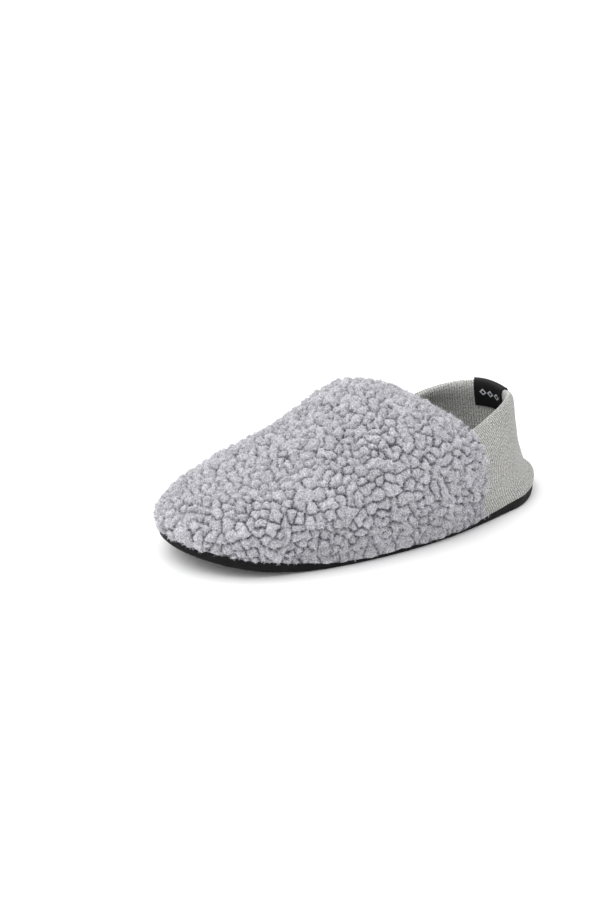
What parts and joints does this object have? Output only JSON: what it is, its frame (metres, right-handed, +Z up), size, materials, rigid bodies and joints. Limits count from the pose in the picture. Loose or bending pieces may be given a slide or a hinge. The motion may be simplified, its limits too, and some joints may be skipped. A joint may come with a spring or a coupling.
{
  "type": "house slipper",
  "caption": "Left house slipper: curly pile vamp, soft knitted heel cuff with a folded rim and a woven tab, padded insole and flat dark sole.",
  "frame": {"origin": "on the floor under the sole, midway between the sole's tip and the back of its heel", "axes": "+X to the outer side of the foot, +Y from the toe to the heel, +Z up"},
  "size_m": [0.1168, 0.2691, 0.0893],
  "materials": {
    "sole": "matt foam rubber",
    "footbed": "brushed jersey",
    "pile": "curly pile",
    "knit": "heather sweatshirt knit",
    "label": "woven satin tape"
  },
  "bodies": {
    "root": {"outsole": "sole", "insole": "footbed", "vamp": "pile", "heel_cuff": "knit", "label": "label"}
  },
  "joints": []
}
